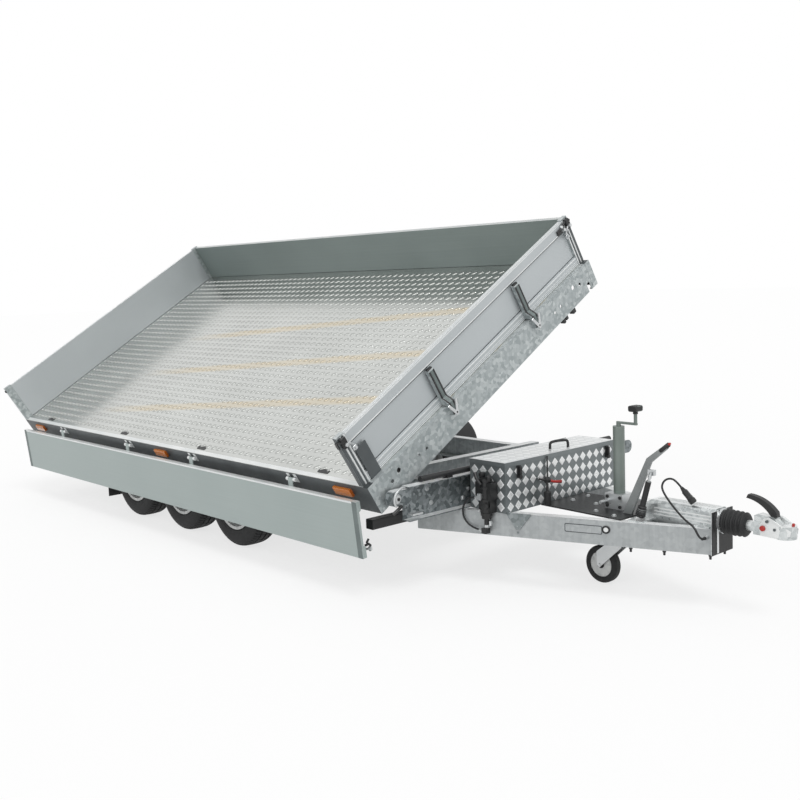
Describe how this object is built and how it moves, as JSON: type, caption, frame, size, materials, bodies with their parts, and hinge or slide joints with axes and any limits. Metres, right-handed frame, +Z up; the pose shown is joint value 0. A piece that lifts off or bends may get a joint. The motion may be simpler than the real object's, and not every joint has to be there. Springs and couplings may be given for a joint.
{
  "type": "three-axle dump trailer",
  "caption": "Galvanised drawbar trailer with a side-tipping aluminium bed, drop boards, telescopic ram, tool box and jockey wheel.",
  "frame": {"origin": "centre of the towing ball that the coupling head takes, on the trailer's centre plane", "axes": "+X forward along the drawbar, +Y to the trailer's left, +Z up"},
  "size_m": [5.899, 2.2839, 1.9714],
  "materials": {
    "amber": "amber lens",
    "black_plastic": "black moulded plastic",
    "black_steel": "black painted steel",
    "boards": "anodised aluminium profile",
    "chequer_box": "bold diamond-pattern aluminium plate",
    "chequer_floor": "raised-pattern aluminium plate",
    "chrome": "hard chrome",
    "galvanised": "hot-dip galvanised steel, spangled",
    "lever_grey": "grey painted steel",
    "pump_black": "black painted casting",
    "red_lens": "red lens",
    "rim": "silver-grey painted steel",
    "rubber": "black rubber",
    "tyre": "black tyre rubber",
    "zinc": "bright zinc-plated steel"
  },
  "bodies": {
    "chassis": {"axle_1": "galvanised", "axle_2": "galvanised", "axle_3": "galvanised", "bellows": "rubber", "chassis_rail_left": "galvanised", "chassis_rail_right": "galvanised", "coupling_handle": "black_plastic", "coupling_head": "zinc", "cross_members": "galvanised", "deck_plate": "black_steel", "drawbar_beam_left": "galvanised", "drawbar_beam_right": "galvanised", "front_bolster": "galvanised", "hand_pump": "pump_black", "handbrake_lever": "lever_grey", "hydraulic_hose": "rubber", "jockey_clamp": "galvanised", "jockey_leg": "galvanised", "mudguard_left": "black_plastic", "mudguard_right": "black_plastic", "overrun_housing": "zinc", "plug": "black_plastic", "plug_cable": "rubber", "rear_bolster": "galvanised", "rear_lamps": "red_lens", "tip_lock_bar": "black_steel", "tool_box": "chequer_box"},
    "bed": {"bed_beams": "galvanised", "bed_floor": "chequer_floor", "board_posts": "galvanised", "floor_bearers": "galvanised", "front_board": "boards", "front_frame": "galvanised", "ram_bearer": "galvanised", "rear_frame": "galvanised", "side_markers": "amber", "side_rail_left": "galvanised", "side_rail_right": "galvanised"},
    "side_board_right": {"side_board_right": "boards"},
    "side_board_left": {"side_board_left": "boards"},
    "rear_board": {"rear_board": "boards"},
    "box_lid": {"box_lid": "chequer_box"},
    "ram_barrel": {"ram_barrel": "black_steel"},
    "ram_stage_1": {"ram_stage_1": "black_steel"},
    "ram_stage_2": {"ram_stage_2": "black_steel"},
    "ram_rod": {"ram_rod": "chrome"},
    "jockey_fork": {"jockey_fork": "galvanised"},
    "jockey_wheel": {"jockey_wheel": "tyre"},
    "wheel_right_1": {"rim_right_1": "rim", "tyre_right_1": "tyre"},
    "wheel_right_2": {"rim_right_2": "rim", "tyre_right_2": "tyre"},
    "wheel_right_3": {"rim_right_3": "rim", "tyre_right_3": "tyre"},
    "wheel_left_1": {"rim_left_1": "rim", "tyre_left_1": "tyre"},
    "wheel_left_2": {"rim_left_2": "rim", "tyre_left_2": "tyre"},
    "wheel_left_3": {"rim_left_3": "rim", "tyre_left_3": "tyre"}
  },
  "joints": [
    {"name": "bed_tip", "type": "hinge", "parent": "chassis", "child": "bed", "pos_m": [-3.8, -0.975, 0.1], "axis": [1, 0, 0], "range_deg": [-31.49, 13.51]},
    {"name": "side_board_right_swing", "type": "hinge", "parent": "bed", "child": "side_board_right", "pos_m": [-3.8, -1.10085, 0.13315], "axis": [1, 0, 0], "range_deg": [-155.2, 5]},
    {"name": "side_board_left_swing", "type": "hinge", "parent": "bed", "child": "side_board_left", "pos_m": [-3.8, 0.71547, 1.24575], "axis": [1, 0, 0], "range_deg": [-163, 0]},
    {"name": "rear_board_swing", "type": "hinge", "parent": "bed", "child": "rear_board", "pos_m": [-5.837, -0.19269, 0.68945], "axis": [0, 0.8527, 0.5224], "range_deg": [-163, 0]},
    {"name": "box_lid_swing", "type": "hinge", "parent": "chassis", "child": "box_lid", "pos_m": [-1.534, 0, 0.234], "axis": [0, -1, 0], "range_deg": [0, 85]},
    {"name": "wheel_right_1_spin", "type": "hinge", "parent": "chassis", "child": "wheel_right_1", "pos_m": [-3.1595, -0.823, -0.14], "axis": [0, 1, 0], "continuous": true},
    {"name": "wheel_right_2_spin", "type": "hinge", "parent": "chassis", "child": "wheel_right_2", "pos_m": [-3.8, -0.823, -0.14], "axis": [0, 1, 0], "continuous": true},
    {"name": "wheel_right_3_spin", "type": "hinge", "parent": "chassis", "child": "wheel_right_3", "pos_m": [-4.4405, -0.823, -0.14], "axis": [0, 1, 0], "continuous": true},
    {"name": "wheel_left_1_spin", "type": "hinge", "parent": "chassis", "child": "wheel_left_1", "pos_m": [-3.1595, 0.823, -0.14], "axis": [0, 1, 0], "continuous": true},
    {"name": "wheel_left_2_spin", "type": "hinge", "parent": "chassis", "child": "wheel_left_2", "pos_m": [-3.8, 0.823, -0.14], "axis": [0, 1, 0], "continuous": true},
    {"name": "wheel_left_3_spin", "type": "hinge", "parent": "chassis", "child": "wheel_left_3", "pos_m": [-4.4405, 0.823, -0.14], "axis": [0, 1, 0], "continuous": true},
    {"name": "jockey_swivel", "type": "hinge", "parent": "chassis", "child": "jockey_fork", "pos_m": [-0.905, 0, -0.2], "axis": [0, 0, 1], "continuous": true},
    {"name": "jockey_wheel_spin", "type": "hinge", "parent": "jockey_fork", "child": "jockey_wheel", "pos_m": [-1.015, 0, -0.34], "axis": [0, 1, 0], "continuous": true},
    {"name": "ram_swing", "type": "hinge", "parent": "chassis", "child": "ram_barrel", "pos_m": [-3.5, 0, -0.04], "axis": [1, 0, 0], "range_deg": [-13.3, 5.8]},
    {"name": "ram_slide_1", "type": "slide", "parent": "ram_barrel", "child": "ram_stage_1", "axis": [0, -0.2202, 0.9755], "range_m": [-0.1725, 0.0745]},
    {"name": "ram_slide_2", "type": "slide", "parent": "ram_stage_1", "child": "ram_stage_2", "axis": [0, -0.2202, 0.9755], "range_m": [-0.1725, 0.0745]},
    {"name": "ram_slide_3", "type": "slide", "parent": "ram_stage_2", "child": "ram_rod", "axis": [0, -0.2202, 0.9755], "range_m": [-0.1725, 0.0745]}
  ],
  "couplings": [
    {"joint": "ram_swing", "follows": "bed_tip", "ratio": 0.42},
    {"joint": "ram_slide_1", "follows": "bed_tip", "m_per_rad": 0.313},
    {"joint": "ram_slide_2", "follows": "bed_tip", "m_per_rad": 0.313},
    {"joint": "ram_slide_3", "follows": "bed_tip", "m_per_rad": 0.313}
  ]
}
